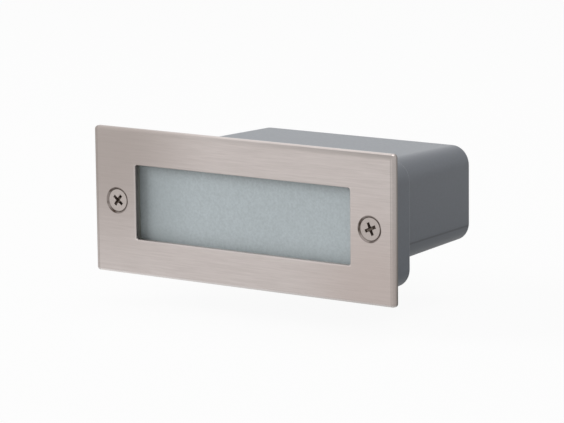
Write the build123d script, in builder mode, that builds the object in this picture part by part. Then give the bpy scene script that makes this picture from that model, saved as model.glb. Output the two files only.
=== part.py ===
"""Recessed wall light: steel faceplate with a frosted window over a die-cast housing.

Millimetres. The origin is the middle of the wall face that the plate rests on.
X points right, Y points into the wall and Z points up, so the plate faces -Y.
"""

import math
import os

from build123d import *

os.makedirs("parts", exist_ok=True)

# Faceplate
plate_width = 170.0
plate_height = 70.0
plate_thickness = 3.0
plate_corner = 1.7
plate_edge_round = 1.5
plate_side_overlap = 3.0
plate_top_overlap = 5.8
seal_clearance = 0.3
rebate_depth = 0.6
window_side_margin = 24.1
window_top_margin = 17.25
window_corner = 1.2
window_edge_round = 0.9

# Cover screws
screw_inset = 13.3
screw_radius = 3.0
screw_length = 15.5
screw_head_radius = 5.5
screw_sink_radius = 6.1
screw_hole_radius = 3.4
screw_tip_chamfer = 0.8
screw_end_clearance = 0.5
screw_seat_clearance = 0.06
cross_length = 6.0
cross_width = 1.4
cross_depth = 2.6
cross_taper = 14.0
cross_turns = {"left": 52.0, "right": 24.0}
thread_clearance = 0.05
washer_radius = 4.5
washer_thickness = 1.0
boss_radius = 6.4

# Window seal, pane and clamp
gasket_thickness = 2.1
gasket_set_back = 0.5
glass_overlap = 3.0
glass_thickness = 4.5
glass_corner = 3.0
glass_arris = 0.4
frame_thickness = 1.2
stud_radius = 1.5
stud_gap = 2.4
stud_inset = 20.0
stud_end = 0.8
stud_hole_clearance = 0.2
frame_edge = 2.7
nut_across = 5.5
nut_height = 2.4

# Housing
tray_depth = 15.0
tray_corner = 9.0
body_depth = 98.5
box_side_step = 20.0
box_top_step = 6.2
box_corner = 9.0
box_draft = 1.6
wall = 2.5
floor_thickness = 3.0
back_thickness = 3.0
tray_edge_round = 0.8
box_edge_round = 0.6
box_foot_round = 1.6
post_radius = 3.5
fixing_hole_radius = 2.5
fixing_hole_inset = 7.0

# Reflector
sheet = 0.8
reflector_clearance = 0.8
reflector_flange = 2.6
reflector_floor_depth = 52.0
reflector_side_slope = 13.2
reflector_floor_corner = 4.5
post_edge_margin = 4.2
small_screw_radius = 1.5
small_hole_clearance = 0.2
small_head_radius = 2.75
small_head_height = 2.0
small_thread_depth = 7.0
wire_slot_width = 5.0
wire_slot_margin = 1.5

# Lamp holder and its bracket
lamp_depth = 30.0
bracket_sheet = 1.5
bracket_clearance = 2.4
bracket_foot = 14.0
bracket_height_margin = 2.0
rivet_radius = 1.6
rivet_head_radius = 3.0
rivet_head_height = 1.0
rivet_spread = 14.0
holder_length = 20.0
holder_width = 17.0
holder_height = 27.0
holder_corner = 5.0
holder_fixing_spread = 20.0
holder_thread_length = 1.5
socket_width = 5.6
socket_height = 13.4
socket_depth = 9.0
contact_spread = 9.0
contact_radius = 1.35

# Capsule lamp
socket_clearance = 0.3
bulb_radius = 6.5
bulb_wall = 0.9
bulb_length = 34.0
bulb_neck = 1.0
bulb_solid_end = 3.0
pin_radius = 0.6
pin_length = 4.5
filament_radius = 0.5
filament_spread = 5.0
filament_end_gap = 4.0

# Terminal block
terminal_length = 20.0
terminal_height = 15.0
terminal_side = 4.5
terminal_pad = 4.0
terminal_edge_round = 0.8
tube_radius = 2.2
tube_bore = 1.45
tube_set_back = 1.0
tube_axis_height = 7.5
terminal_screw_radius = 1.3
terminal_screw_spread = 10.0
terminal_screw_hole = 1.6
terminal_screw_sink = 1.0
fixing_sink_radius = 3.0
fixing_sink_depth = 4.0

# Earth point
earth_boss_radius = 4.5
earth_boss_height = 9.0
earth_screw_radius = 2.0
earth_head_radius = 3.5
earth_head_height = 2.4
earth_slot_width = 1.0
earth_slot_depth = 1.1
earth_washer_radius = 4.0
earth_washer_thickness = 1.2
earth_thread_depth = 7.0

# Inner wiring
wire_radius = 1.2
wire_bend = 5.0
wire_drop_gap = 0.5
wire_clearance = 1.4
wire_end_in_holder = 6.0
wire_end_in_tube = 7.0

# Cable gland
gland_thread_radius = 8.0
gland_hole_clearance = 0.2
gland_bore = 5.0
gland_flat = 20.0
gland_hex_height = 5.0
gland_neck_radius = 7.4
gland_neck_length = 8.0
gland_inner_length = 8.5
gland_washer_thickness = 1.5
gland_washer_radius = 10.5
locknut_flat = 22.0
locknut_height = 5.0
nut_gap = 0.4
nut_hex_length = 9.0
nut_dome_length = 6.0
nut_mouth_radius = 5.2
nut_lip = 2.0
seal_radius = 6.2
seal_bore = 4.0
seal_fit = 0.1
seal_depth = 6.0

# Places that follow from the sizes above, as depths behind the wall face
plate_front = -plate_thickness
plate_rear = -rebate_depth
rim = plate_rear + gasket_thickness
glass_front = rim
glass_rear = glass_front + glass_thickness
frame_rear = glass_rear + frame_thickness
floor_front = tray_depth - floor_thickness
back_inner = body_depth - back_thickness

# Outlines that follow from the sizes above
window_width = plate_width - 2 * window_side_margin
window_height = plate_height - 2 * window_top_margin
glass_width = window_width + 2 * glass_overlap
glass_height = window_height + 2 * glass_overlap
tray_width = plate_width - 2 * plate_side_overlap
tray_height = plate_height - 2 * plate_top_overlap
box_width = tray_width - 2 * box_side_step
box_height = tray_height - 2 * box_top_step
screw_x = plate_width / 2 - screw_inset
stud_z = glass_height / 2 + stud_gap
stud_x = glass_width / 2 - stud_inset
stud_spots = [(x, z) for x in (-stud_x, stud_x) for z in (-stud_z, stud_z)]
draft_slope = math.tan(math.radians(box_draft))

# Alignment of a shape that stands on the front of a plane, or hangs behind it
stand = (Align.CENTER, Align.CENTER, Align.MIN)
hang = (Align.CENTER, Align.CENTER, Align.MAX)


def at_depth(depth):
    """Plane parallel to the wall: x is right, y is up and its front faces the room."""
    return Plane.XZ.offset(-depth)


def spots_at(depth, points):
    """Places on the plane at a depth, for points given as right and up."""
    return [at_depth(depth).location * Pos(x, z, 0) for x, z in points]


def cavity_size(depth):
    """Width and height inside the rear box at a depth, narrowing with the draft."""
    spread = 2 * ((body_depth - depth) * draft_slope - wall)
    return box_width + spread, box_height + spread


# Reflector outline: a mouth in the tray floor and a smaller floor deeper down
mouth_width, mouth_height = (size - 2 * reflector_clearance for size in cavity_size(floor_front))
mouth_corner = box_corner - wall
reflector_floor_width = mouth_width - 2 * reflector_side_slope
reflector_rear = reflector_floor_depth + sheet
wire_z = contact_spread / 2
post_x = reflector_floor_width / 2 - post_edge_margin
post_z = wire_z + wire_radius + wire_clearance + post_radius
post_spots = [(x, z) for x in (-post_x, post_x) for z in (-post_z, post_z)]
reflector_floor_height = 2 * (post_z + post_edge_margin)

# The holder's bracket stands beside the left post screws, and the wires drop beside the bracket
bracket_left = small_head_radius + bracket_clearance - post_x
bracket_x = bracket_left + bracket_sheet
wire_drop_x = bracket_left - wire_bend - wire_drop_gap
wire_slot_length = contact_spread + 2 * wire_radius + 2 * wire_slot_margin
rivet_x = bracket_x + bracket_foot / 2
rivet_spots = [(rivet_x, z) for z in (-rivet_spread / 2, rivet_spread / 2)]

# Earth point, terminal block and gland stand in a row with even gaps between the posts
locknut_radius = locknut_flat / math.sqrt(3)
row_left = post_radius - post_x
row_length = 2 * earth_boss_radius + terminal_length + 2 * locknut_radius
row_gap = (-2 * row_left - row_length) / 4
earth_x = row_left + row_gap + earth_boss_radius
earth_z = -(wire_z + wire_radius + wire_clearance + earth_washer_radius)
terminal_left = earth_x + earth_boss_radius + row_gap
terminal_x = terminal_left + terminal_length / 2
gland_x = terminal_left + terminal_length + row_gap + locknut_radius

# Terminal block: its two poles stand level with the two contacts of the holder
pole_heights = [wire_z, -wire_z]
terminal_width = contact_spread + 2 * terminal_side
terminal_rear = back_inner - terminal_pad
terminal_front = terminal_rear - terminal_height
tube_depth = terminal_rear - tube_axis_height
earth_seat = back_inner - earth_boss_height

fixing_hole_x = box_width / 2 - fixing_hole_inset

with BuildPart() as face_plate:
    with BuildSketch(at_depth(plate_front)):
        RectangleRounded(plate_width, plate_height, plate_corner)
    extrude(amount=-plate_thickness)
    fillet(face_plate.faces().sort_by(Axis.Y)[0].edges(), plate_edge_round)
    with BuildSketch(at_depth(0)):
        RectangleRounded(
            tray_width + 2 * seal_clearance,
            tray_height + 2 * seal_clearance,
            tray_corner + seal_clearance,
        )
    extrude(amount=rebate_depth, mode=Mode.SUBTRACT)
    with BuildSketch(at_depth(plate_front)):
        RectangleRounded(window_width, window_height, window_corner)
    extrude(amount=-plate_thickness, mode=Mode.SUBTRACT)
    fillet(face_plate.faces().sort_by(Axis.Y)[0].inner_wires()[0].edges(), window_edge_round)
    with Locations(*spots_at(plate_front, [(-screw_x, 0), (screw_x, 0)])):
        CounterSinkHole(screw_hole_radius, screw_sink_radius, plate_thickness, 90)
    with Locations(*spots_at(plate_rear, stud_spots)):
        Cylinder(stud_radius, frame_rear + nut_height + stud_end - plate_rear, align=hang)
face_plate.part.label = "face_plate"
export_step(face_plate.part, "parts/face_plate.step")

# A smaller head sinks into the wider countersink until the two cones almost meet
screw_top = plate_front + screw_sink_radius - screw_head_radius - screw_seat_clearance
screw_head_height = screw_head_radius - screw_radius
washer_front = screw_top + screw_head_height + thread_clearance

for side, sign in (("left", -1), ("right", 1)):
    with BuildPart(at_depth(screw_top)) as cover_screw:
        with Locations((sign * screw_x, 0)):
            Cylinder(screw_radius, screw_length, align=hang)
            chamfer(cover_screw.edges().sort_by(Axis.Y)[-1], screw_tip_chamfer)
        with Locations((sign * screw_x, 0)):
            Cone(screw_radius, screw_head_radius, screw_head_height, align=hang)
        with BuildSketch(at_depth(screw_top)):
            with Locations(Location((sign * screw_x, 0), cross_turns[side])):
                Rectangle(cross_length, cross_width)
                Rectangle(cross_width, cross_length)
        extrude(amount=-cross_depth, taper=cross_taper, mode=Mode.SUBTRACT)
    cover_screw.part.label = f"cover_screw_{side}"
    export_step(cover_screw.part, f"parts/cover_screw_{side}.step")

with BuildPart(at_depth(washer_front)) as screw_washers:
    with Locations((-screw_x, 0), (screw_x, 0)):
        Cylinder(washer_radius, washer_thickness, align=hang)
        Cylinder(screw_radius + thread_clearance, washer_thickness, align=hang, mode=Mode.SUBTRACT)
screw_washers.part.label = "screw_washers"
export_step(screw_washers.part, "parts/screw_washers.step")

with BuildPart() as window_gasket:
    with BuildSketch(at_depth(plate_rear)):
        RectangleRounded(glass_width, glass_height, glass_corner)
        RectangleRounded(
            window_width + 2 * gasket_set_back,
            window_height + 2 * gasket_set_back,
            window_corner + gasket_set_back,
            mode=Mode.SUBTRACT,
        )
    extrude(amount=-gasket_thickness)
window_gasket.part.label = "window_gasket"
export_step(window_gasket.part, "parts/window_gasket.step")

with BuildPart() as glass_pane:
    with BuildSketch(at_depth(glass_front)):
        RectangleRounded(glass_width, glass_height, glass_corner)
    extrude(amount=-glass_thickness)
    chamfer(glass_pane.faces().sort_by(Axis.Y)[0].edges(), glass_arris)
    chamfer(glass_pane.faces().sort_by(Axis.Y)[-1].edges(), glass_arris)
glass_pane.part.label = "glass_pane"
export_step(glass_pane.part, "parts/glass_pane.step")

with BuildPart() as clamp_frame:
    with BuildSketch(at_depth(glass_rear)):
        RectangleRounded(glass_width, 2 * (stud_z + frame_edge), glass_corner)
        RectangleRounded(
            window_width + 2 * gasket_set_back,
            window_height + 2 * gasket_set_back,
            window_corner + gasket_set_back,
            mode=Mode.SUBTRACT,
        )
        with Locations(*stud_spots):
            Circle(stud_radius + stud_hole_clearance, mode=Mode.SUBTRACT)
    extrude(amount=-frame_thickness)
clamp_frame.part.label = "clamp_frame"
export_step(clamp_frame.part, "parts/clamp_frame.step")

with BuildPart() as clamp_nuts:
    with BuildSketch(at_depth(frame_rear)):
        with Locations(*stud_spots):
            RegularPolygon(nut_across / 2, 6, major_radius=False)
            Circle(stud_radius + thread_clearance, mode=Mode.SUBTRACT)
    extrude(amount=-nut_height)
clamp_nuts.part.label = "clamp_nuts"
export_step(clamp_nuts.part, "parts/clamp_nuts.step")

with BuildPart() as rim_gasket:
    with BuildSketch(at_depth(plate_rear)):
        RectangleRounded(tray_width, tray_height, tray_corner)
        RectangleRounded(
            tray_width - 2 * wall, tray_height - 2 * wall, tray_corner - wall, mode=Mode.SUBTRACT
        )
        with Locations((-screw_x, 0), (screw_x, 0)):
            Circle(boss_radius)
        for sign in (-1, 1):
            with Locations((sign * screw_x, 0)):
                edge = (Align.MIN if sign > 0 else Align.MAX, Align.CENTER)
                Rectangle(tray_width / 2 - wall / 2 - screw_x, boss_radius, align=edge)
        with Locations((-screw_x, 0), (screw_x, 0)):
            Circle(washer_radius + seal_clearance, mode=Mode.SUBTRACT)
    extrude(amount=-gasket_thickness)
rim_gasket.part.label = "rim_gasket"
export_step(rim_gasket.part, "parts/rim_gasket.step")

screw_hole_end = screw_top + screw_length + screw_end_clearance

with BuildPart() as housing:
    # Outside: front tray, then the tapering rear box
    with BuildSketch(at_depth(rim)):
        RectangleRounded(tray_width, tray_height, tray_corner)
    extrude(amount=-(tray_depth - rim))
    fillet(housing.faces().sort_by(Axis.Y)[-1].edges(), tray_edge_round)
    with BuildSketch(at_depth(body_depth)):
        RectangleRounded(box_width, box_height, box_corner)
    extrude(amount=body_depth - tray_depth, taper=-box_draft)
    fillet(housing.faces().sort_by(Axis.Y)[-1].edges(), box_edge_round)
    tray_back = housing.faces().filter_by(Axis.Y).sort_by(Axis.Y)[1]
    fillet(tray_back.inner_wires()[0].edges(), box_foot_round)
    # Inside: tray, then the box cavity under the same draft
    with BuildSketch(at_depth(rim)):
        RectangleRounded(tray_width - 2 * wall, tray_height - 2 * wall, tray_corner - wall)
    extrude(amount=-(floor_front - rim), mode=Mode.SUBTRACT)
    with BuildSketch(at_depth(back_inner)):
        RectangleRounded(*cavity_size(back_inner), box_corner - wall)
    extrude(amount=back_inner - floor_front, taper=-box_draft, mode=Mode.SUBTRACT)
    # Screw bosses, each joined to the end wall by a web
    with BuildSketch(at_depth(rim)):
        with Locations((-screw_x, 0), (screw_x, 0)):
            Circle(boss_radius)
        for sign in (-1, 1):
            with Locations((sign * screw_x, 0)):
                edge = (Align.MIN if sign > 0 else Align.MAX, Align.CENTER)
                Rectangle(tray_width / 2 - wall / 2 - screw_x, boss_radius, align=edge)
    extrude(amount=-(floor_front - rim))
    with Locations(*spots_at(rim, [(-screw_x, 0), (screw_x, 0)])):
        Cylinder(
            screw_radius + thread_clearance, screw_hole_end - rim, align=hang, mode=Mode.SUBTRACT
        )
    # Posts for the reflector
    with Locations(*spots_at(reflector_rear, post_spots)):
        Cylinder(post_radius, back_inner - reflector_rear, align=hang)
    with Locations(*spots_at(reflector_rear, post_spots)):
        Cylinder(
            small_screw_radius + thread_clearance,
            small_thread_depth + screw_end_clearance,
            align=hang,
            mode=Mode.SUBTRACT,
        )
    # Pad for the terminal block and boss for the earth screw
    with BuildSketch(at_depth(terminal_rear)):
        with Locations((terminal_x, 0)):
            Rectangle(terminal_length, terminal_width)
    extrude(amount=-terminal_pad)
    with Locations(*spots_at(terminal_rear, [(terminal_x, 0)])):
        Cylinder(
            small_screw_radius + thread_clearance,
            terminal_pad + screw_end_clearance,
            align=hang,
            mode=Mode.SUBTRACT,
        )
    with Locations(*spots_at(earth_seat, [(earth_x, earth_z)])):
        Cylinder(earth_boss_radius, back_inner - earth_seat, align=hang)
        Cylinder(
            earth_screw_radius + thread_clearance,
            earth_thread_depth + screw_end_clearance,
            align=hang,
            mode=Mode.SUBTRACT,
        )
    # Holes in the back wall: cable gland, then the two wall fixings
    with Locations(*spots_at(body_depth, [(gland_x, 0)])):
        Cylinder(
            gland_thread_radius + gland_hole_clearance,
            2 * back_thickness,
            mode=Mode.SUBTRACT,
        )
    with Locations(*spots_at(body_depth, [(-fixing_hole_x, 0), (fixing_hole_x, 0)])):
        Cylinder(fixing_hole_radius, 2 * back_thickness, mode=Mode.SUBTRACT)
housing.part.label = "housing"
export_step(housing.part, "parts/housing.step")

with BuildPart() as reflector:
    # Outer hopper, flange, then the inner hopper taken out
    with BuildSketch(at_depth(floor_front)):
        RectangleRounded(mouth_width, mouth_height, mouth_corner)
    with BuildSketch(at_depth(reflector_rear)):
        RectangleRounded(reflector_floor_width, reflector_floor_height, reflector_floor_corner)
    loft(ruled=True)
    with BuildSketch(at_depth(floor_front - sheet)):
        RectangleRounded(
            mouth_width + 2 * reflector_flange, mouth_height + 2 * reflector_flange, box_corner
        )
    extrude(amount=-sheet)
    with BuildSketch(at_depth(floor_front - sheet)):
        RectangleRounded(mouth_width - 2 * sheet, mouth_height - 2 * sheet, mouth_corner - sheet)
    with BuildSketch(at_depth(reflector_floor_depth)):
        RectangleRounded(
            reflector_floor_width - 2 * sheet,
            reflector_floor_height - 2 * sheet,
            reflector_floor_corner - sheet,
        )
    loft(ruled=True, mode=Mode.SUBTRACT)
    # Floor holes: post screws, rivets and the slot for the wires
    with BuildSketch(at_depth(reflector_floor_depth)):
        with Locations(*post_spots):
            Circle(small_screw_radius + small_hole_clearance)
        with Locations(*rivet_spots):
            Circle(rivet_radius)
        with Locations((wire_drop_x, 0)):
            SlotOverall(wire_slot_length, wire_slot_width, rotation=90)
    extrude(amount=-sheet, mode=Mode.SUBTRACT)
reflector.part.label = "reflector"
export_step(reflector.part, "parts/reflector.step")

with BuildPart(at_depth(reflector_floor_depth)) as reflector_screws:
    with Locations(*post_spots):
        Cylinder(small_head_radius, small_head_height, align=stand)
        Cylinder(small_screw_radius, sheet + small_thread_depth, align=hang)
reflector_screws.part.label = "reflector_screws"
export_step(reflector_screws.part, "parts/reflector_screws.step")

# The bracket's upright carries the holder on its right face
holder_back = bracket_x
holder_front = holder_back + holder_length
bracket_top = lamp_depth - holder_width / 2 - bracket_height_margin
holder_spots = [(lamp_depth, z) for z in (-holder_fixing_spread / 2, holder_fixing_spread / 2)]
contact_spots = [(lamp_depth, z) for z in (-wire_z, wire_z)]

with BuildPart() as holder_bracket:
    with BuildSketch(Plane.XY.offset(-holder_height / 2)):
        with BuildLine():
            Polyline(
                (bracket_left, bracket_top),
                (bracket_x, bracket_top),
                (bracket_x, reflector_floor_depth - bracket_sheet),
                (bracket_x + bracket_foot, reflector_floor_depth - bracket_sheet),
                (bracket_x + bracket_foot, reflector_floor_depth),
                (bracket_left, reflector_floor_depth),
                close=True,
            )
        make_face()
    extrude(amount=holder_height)
    with BuildSketch(Plane.YZ.offset(bracket_x)):
        with Locations(*holder_spots):
            Circle(small_screw_radius + thread_clearance)
        with Locations((lamp_depth, 0)):
            SlotOverall(wire_slot_length, wire_slot_width, rotation=90)
    extrude(amount=-bracket_sheet, mode=Mode.SUBTRACT)
    with BuildSketch(at_depth(reflector_floor_depth)):
        with Locations(*rivet_spots):
            Circle(rivet_radius)
    extrude(amount=bracket_sheet, mode=Mode.SUBTRACT)
holder_bracket.part.label = "holder_bracket"
export_step(holder_bracket.part, "parts/holder_bracket.step")

with BuildPart() as bracket_rivets:
    with Locations(*spots_at(reflector_floor_depth - bracket_sheet, rivet_spots)):
        Cylinder(rivet_head_radius, rivet_head_height, align=stand)
        Cylinder(rivet_radius, bracket_sheet + sheet, align=hang)
    with Locations(*spots_at(reflector_rear, rivet_spots)):
        Cylinder(rivet_head_radius, rivet_head_height, align=hang)
bracket_rivets.part.label = "bracket_rivets"
export_step(bracket_rivets.part, "parts/bracket_rivets.step")

with BuildPart() as lamp_holder:
    with BuildSketch(Plane.YZ.offset(holder_back)):
        with Locations((lamp_depth, 0)):
            RectangleRounded(holder_width, holder_height, holder_corner)
    extrude(amount=holder_length)
    with BuildSketch(Plane.YZ.offset(holder_front)):
        with Locations((lamp_depth, 0)):
            Rectangle(socket_width, socket_height)
    extrude(amount=-socket_depth, mode=Mode.SUBTRACT)
    with BuildSketch(Plane.YZ.offset(holder_back)):
        with Locations(*contact_spots):
            Circle(contact_radius)
        with Locations(*holder_spots):
            Circle(small_screw_radius + small_hole_clearance)
    extrude(amount=holder_length, mode=Mode.SUBTRACT)
lamp_holder.part.label = "lamp_holder"
export_step(lamp_holder.part, "parts/lamp_holder.step")

with BuildPart(Plane.YZ.offset(holder_front)) as holder_screws:
    with Locations(*holder_spots):
        Cylinder(small_head_radius, small_head_height, align=stand)
        Cylinder(small_screw_radius, holder_length + holder_thread_length, align=hang)
holder_screws.part.label = "holder_screws"
export_step(holder_screws.part, "parts/holder_screws.step")

# The lamp's foot stands in the socket, its pins reach on into the contact holes
foot_back = holder_front - socket_depth + socket_clearance
bulb_start = holder_front + bulb_neck
bulb_end = bulb_start + bulb_length
bulb_bore = bulb_radius - bulb_wall
bulb_hollow_start = bulb_start + bulb_solid_end

with BuildPart() as lamp_bulb:
    with BuildSketch(Plane.XY):
        with BuildLine():
            outer_shoulder = (bulb_end - bulb_radius, lamp_depth + bulb_radius)
            inner_shoulder = (bulb_end - bulb_radius, lamp_depth + bulb_bore)
            Polyline(
                (bulb_hollow_start, lamp_depth),
                (bulb_start, lamp_depth),
                (bulb_start, lamp_depth + bulb_radius),
                outer_shoulder,
            )
            RadiusArc(outer_shoulder, (bulb_end, lamp_depth), bulb_radius)
            Line((bulb_end, lamp_depth), (bulb_end - bulb_wall, lamp_depth))
            RadiusArc((bulb_end - bulb_wall, lamp_depth), inner_shoulder, -bulb_bore)
            Polyline(
                inner_shoulder,
                (bulb_hollow_start, lamp_depth + bulb_bore),
                (bulb_hollow_start, lamp_depth),
            )
        make_face()
    revolve(axis=Axis((0, lamp_depth, 0), (1, 0, 0)))
    with BuildSketch(Plane.YZ.offset(foot_back)):
        with Locations((lamp_depth, 0)):
            Rectangle(socket_width - 2 * socket_clearance, socket_height - 2 * socket_clearance)
    extrude(amount=bulb_start - foot_back)
lamp_bulb.part.label = "lamp_bulb"
export_step(lamp_bulb.part, "parts/lamp_bulb.step")

with BuildPart(Plane.YZ.offset(foot_back)) as lamp_pins:
    with Locations(*contact_spots):
        Cylinder(pin_radius, pin_length, align=hang)
lamp_pins.part.label = "lamp_pins"
export_step(lamp_pins.part, "parts/lamp_pins.step")

with BuildPart() as lamp_filament:
    with BuildLine(Plane.XZ.offset(-lamp_depth)) as hairpin:
        upper_start = (bulb_hollow_start, filament_spread / 2)
        upper_end = (bulb_end - bulb_wall - filament_end_gap - filament_spread / 2, filament_spread / 2)
        lower_end = (upper_end[0], -filament_spread / 2)
        Line(upper_start, upper_end)
        ThreePointArc(upper_end, (upper_end[0] + filament_spread / 2, 0), lower_end)
        Line(lower_end, (bulb_hollow_start, -filament_spread / 2))
    with BuildSketch(Plane.YZ.offset(bulb_hollow_start)):
        with Locations((lamp_depth, filament_spread / 2)):
            Circle(filament_radius)
    sweep(path=hairpin.wires()[0])
lamp_filament.part.label = "lamp_filament"
export_step(lamp_filament.part, "parts/lamp_filament.step")

terminal_screw_xs = (terminal_x - terminal_screw_spread / 2, terminal_x + terminal_screw_spread / 2)
terminal_screw_spots = [(x, z) for x in terminal_screw_xs for z in pole_heights]
tube_spots = [(tube_depth, z) for z in pole_heights]

with BuildPart() as terminal_body:
    with BuildSketch(at_depth(terminal_front)):
        with Locations((terminal_x, 0)):
            Rectangle(terminal_length, terminal_width)
    extrude(amount=-terminal_height)
    chamfer(terminal_body.faces().sort_by(Axis.Y)[0].edges(), terminal_edge_round)
    with BuildSketch(Plane.YZ.offset(terminal_left)):
        with Locations(*tube_spots):
            Circle(tube_radius + thread_clearance)
    extrude(amount=terminal_length, mode=Mode.SUBTRACT)
    with Locations(*spots_at(terminal_front, terminal_screw_spots)):
        Cylinder(terminal_screw_hole, tube_depth - terminal_front, align=hang, mode=Mode.SUBTRACT)
    with Locations(*spots_at(terminal_front, [(terminal_x, 0)])):
        CounterBoreHole(
            small_screw_radius + small_hole_clearance,
            fixing_sink_radius,
            fixing_sink_depth,
            terminal_height,
        )
terminal_body.part.label = "terminal_body"
export_step(terminal_body.part, "parts/terminal_body.step")

with BuildPart() as terminal_tubes:
    with BuildSketch(Plane.YZ.offset(terminal_left + tube_set_back)):
        with Locations(*tube_spots):
            Circle(tube_radius)
            Circle(tube_bore, mode=Mode.SUBTRACT)
    extrude(amount=terminal_length - 2 * tube_set_back)
    with Locations(*spots_at(terminal_front, terminal_screw_spots)):
        Cylinder(
            terminal_screw_radius + thread_clearance,
            tube_depth - terminal_front,
            align=hang,
            mode=Mode.SUBTRACT,
        )
terminal_tubes.part.label = "terminal_tubes"
export_step(terminal_tubes.part, "parts/terminal_tubes.step")

with BuildPart(at_depth(terminal_front + terminal_screw_sink)) as terminal_screws:
    terminal_screw_length = tube_depth - wire_radius - terminal_front - terminal_screw_sink
    with Locations(*terminal_screw_spots):
        Cylinder(terminal_screw_radius, terminal_screw_length, align=hang)
terminal_screws.part.label = "terminal_screws"
export_step(terminal_screws.part, "parts/terminal_screws.step")

with BuildPart(at_depth(terminal_front + fixing_sink_depth)) as terminal_fixing:
    with Locations((terminal_x, 0)):
        Cylinder(small_head_radius, small_head_height, align=stand)
        Cylinder(
            small_screw_radius, terminal_height - fixing_sink_depth + terminal_pad, align=hang
        )
terminal_fixing.part.label = "terminal_fixing"
export_step(terminal_fixing.part, "parts/terminal_fixing.step")

earth_head_seat = earth_seat - earth_washer_thickness

with BuildPart(at_depth(earth_seat)) as earth_washer:
    with Locations((earth_x, earth_z)):
        Cylinder(earth_washer_radius, earth_washer_thickness, align=stand)
        Cylinder(
            earth_screw_radius + small_hole_clearance,
            earth_washer_thickness,
            align=stand,
            mode=Mode.SUBTRACT,
        )
earth_washer.part.label = "earth_washer"
export_step(earth_washer.part, "parts/earth_washer.step")

with BuildPart(at_depth(earth_head_seat)) as earth_screw:
    with Locations((earth_x, earth_z)):
        Cylinder(earth_head_radius, earth_head_height, align=stand)
        Cylinder(earth_screw_radius, earth_washer_thickness + earth_thread_depth, align=hang)
    with Locations((earth_x, earth_z, earth_head_height)):
        Box(2 * earth_head_radius, earth_slot_width, earth_slot_depth, align=hang, mode=Mode.SUBTRACT)
earth_screw.part.label = "earth_screw"
export_step(earth_screw.part, "parts/earth_screw.step")

# Each wire leaves the back of the holder, turns down behind the reflector and ends in its pole
for wire_name, height in (("live_wire", pole_heights[0]), ("neutral_wire", pole_heights[1])):
    with BuildPart() as wire:
        with BuildLine(Plane.XY.offset(height)) as wire_route:
            FilletPolyline(
                (holder_back + wire_end_in_holder, lamp_depth),
                (wire_drop_x, lamp_depth),
                (wire_drop_x, tube_depth),
                (terminal_left + wire_end_in_tube, tube_depth),
                radius=wire_bend,
            )
        with BuildSketch(Plane.YZ.offset(holder_back + wire_end_in_holder)):
            with Locations((lamp_depth, height)):
                Circle(wire_radius)
        sweep(path=wire_route.wires()[0])
    wire.part.label = wire_name
    export_step(wire.part, f"parts/{wire_name}.step")

gland_seat = body_depth + gland_washer_thickness
gland_neck_start = gland_seat + gland_hex_height
gland_neck_end = gland_neck_start + gland_neck_length

with BuildPart(at_depth(body_depth)) as gland_washer:
    with Locations((gland_x, 0)):
        Cylinder(gland_washer_radius, gland_washer_thickness, align=hang)
        Cylinder(
            gland_thread_radius + gland_hole_clearance,
            gland_washer_thickness,
            align=hang,
            mode=Mode.SUBTRACT,
        )
gland_washer.part.label = "gland_washer"
export_step(gland_washer.part, "parts/gland_washer.step")

with BuildPart() as gland_body:
    with BuildSketch(at_depth(gland_seat)):
        with Locations((gland_x, 0)):
            RegularPolygon(gland_flat / 2, 6, major_radius=False)
    extrude(amount=-gland_hex_height)
    with Locations(*spots_at(gland_seat, [(gland_x, 0)])):
        Cylinder(gland_thread_radius, gland_seat - back_inner + gland_inner_length, align=stand)
    with Locations(*spots_at(gland_neck_start, [(gland_x, 0)])):
        Cylinder(gland_neck_radius, gland_neck_length, align=hang)
    with Locations(*spots_at(gland_neck_end, [(gland_x, 0)])):
        Cylinder(seal_radius + seal_fit, seal_depth, align=stand, mode=Mode.SUBTRACT)
    with BuildSketch(at_depth(gland_neck_end)):
        with Locations((gland_x, 0)):
            Circle(gland_bore)
    extrude(amount=gland_neck_end - back_inner + gland_inner_length, mode=Mode.SUBTRACT)
gland_body.part.label = "gland_body"
export_step(gland_body.part, "parts/gland_body.step")

with BuildPart() as gland_locknut:
    with BuildSketch(at_depth(back_inner)):
        with Locations((gland_x, 0)):
            RegularPolygon(locknut_flat / 2, 6, major_radius=False)
            Circle(gland_thread_radius + thread_clearance, mode=Mode.SUBTRACT)
    extrude(amount=locknut_height)
gland_locknut.part.label = "gland_locknut"
export_step(gland_locknut.part, "parts/gland_locknut.step")

# The dome nut runs on the neck and its lip closes over the end of the seal
nut_start = gland_neck_start + nut_gap
nut_hex_end = nut_start + nut_hex_length
nut_end = nut_hex_end + nut_dome_length
nut_lip_start = nut_end - nut_lip

with BuildPart() as gland_nut:
    with BuildSketch(at_depth(nut_start)):
        with Locations((gland_x, 0)):
            RegularPolygon(gland_flat / 2, 6, major_radius=False)
    extrude(amount=-nut_hex_length)
    with Locations(*spots_at(nut_hex_end, [(gland_x, 0)])):
        Cone(nut_mouth_radius + nut_lip, gland_flat / 2, nut_dome_length, align=hang)
    with BuildSketch(at_depth(nut_start)):
        with Locations((gland_x, 0)):
            Circle(gland_neck_radius + thread_clearance)
    extrude(amount=-(nut_lip_start - nut_start), mode=Mode.SUBTRACT)
    with BuildSketch(at_depth(nut_end)):
        with Locations((gland_x, 0)):
            Circle(nut_mouth_radius)
    extrude(amount=nut_lip, mode=Mode.SUBTRACT)
gland_nut.part.label = "gland_nut"
export_step(gland_nut.part, "parts/gland_nut.step")

with BuildPart() as gland_seal:
    with BuildSketch(at_depth(gland_neck_end - seal_depth)):
        with Locations((gland_x, 0)):
            Circle(seal_radius)
            Circle(seal_bore, mode=Mode.SUBTRACT)
    extrude(amount=-(nut_lip_start - gland_neck_end + seal_depth))
gland_seal.part.label = "gland_seal"
export_step(gland_seal.part, "parts/gland_seal.step")
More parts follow.
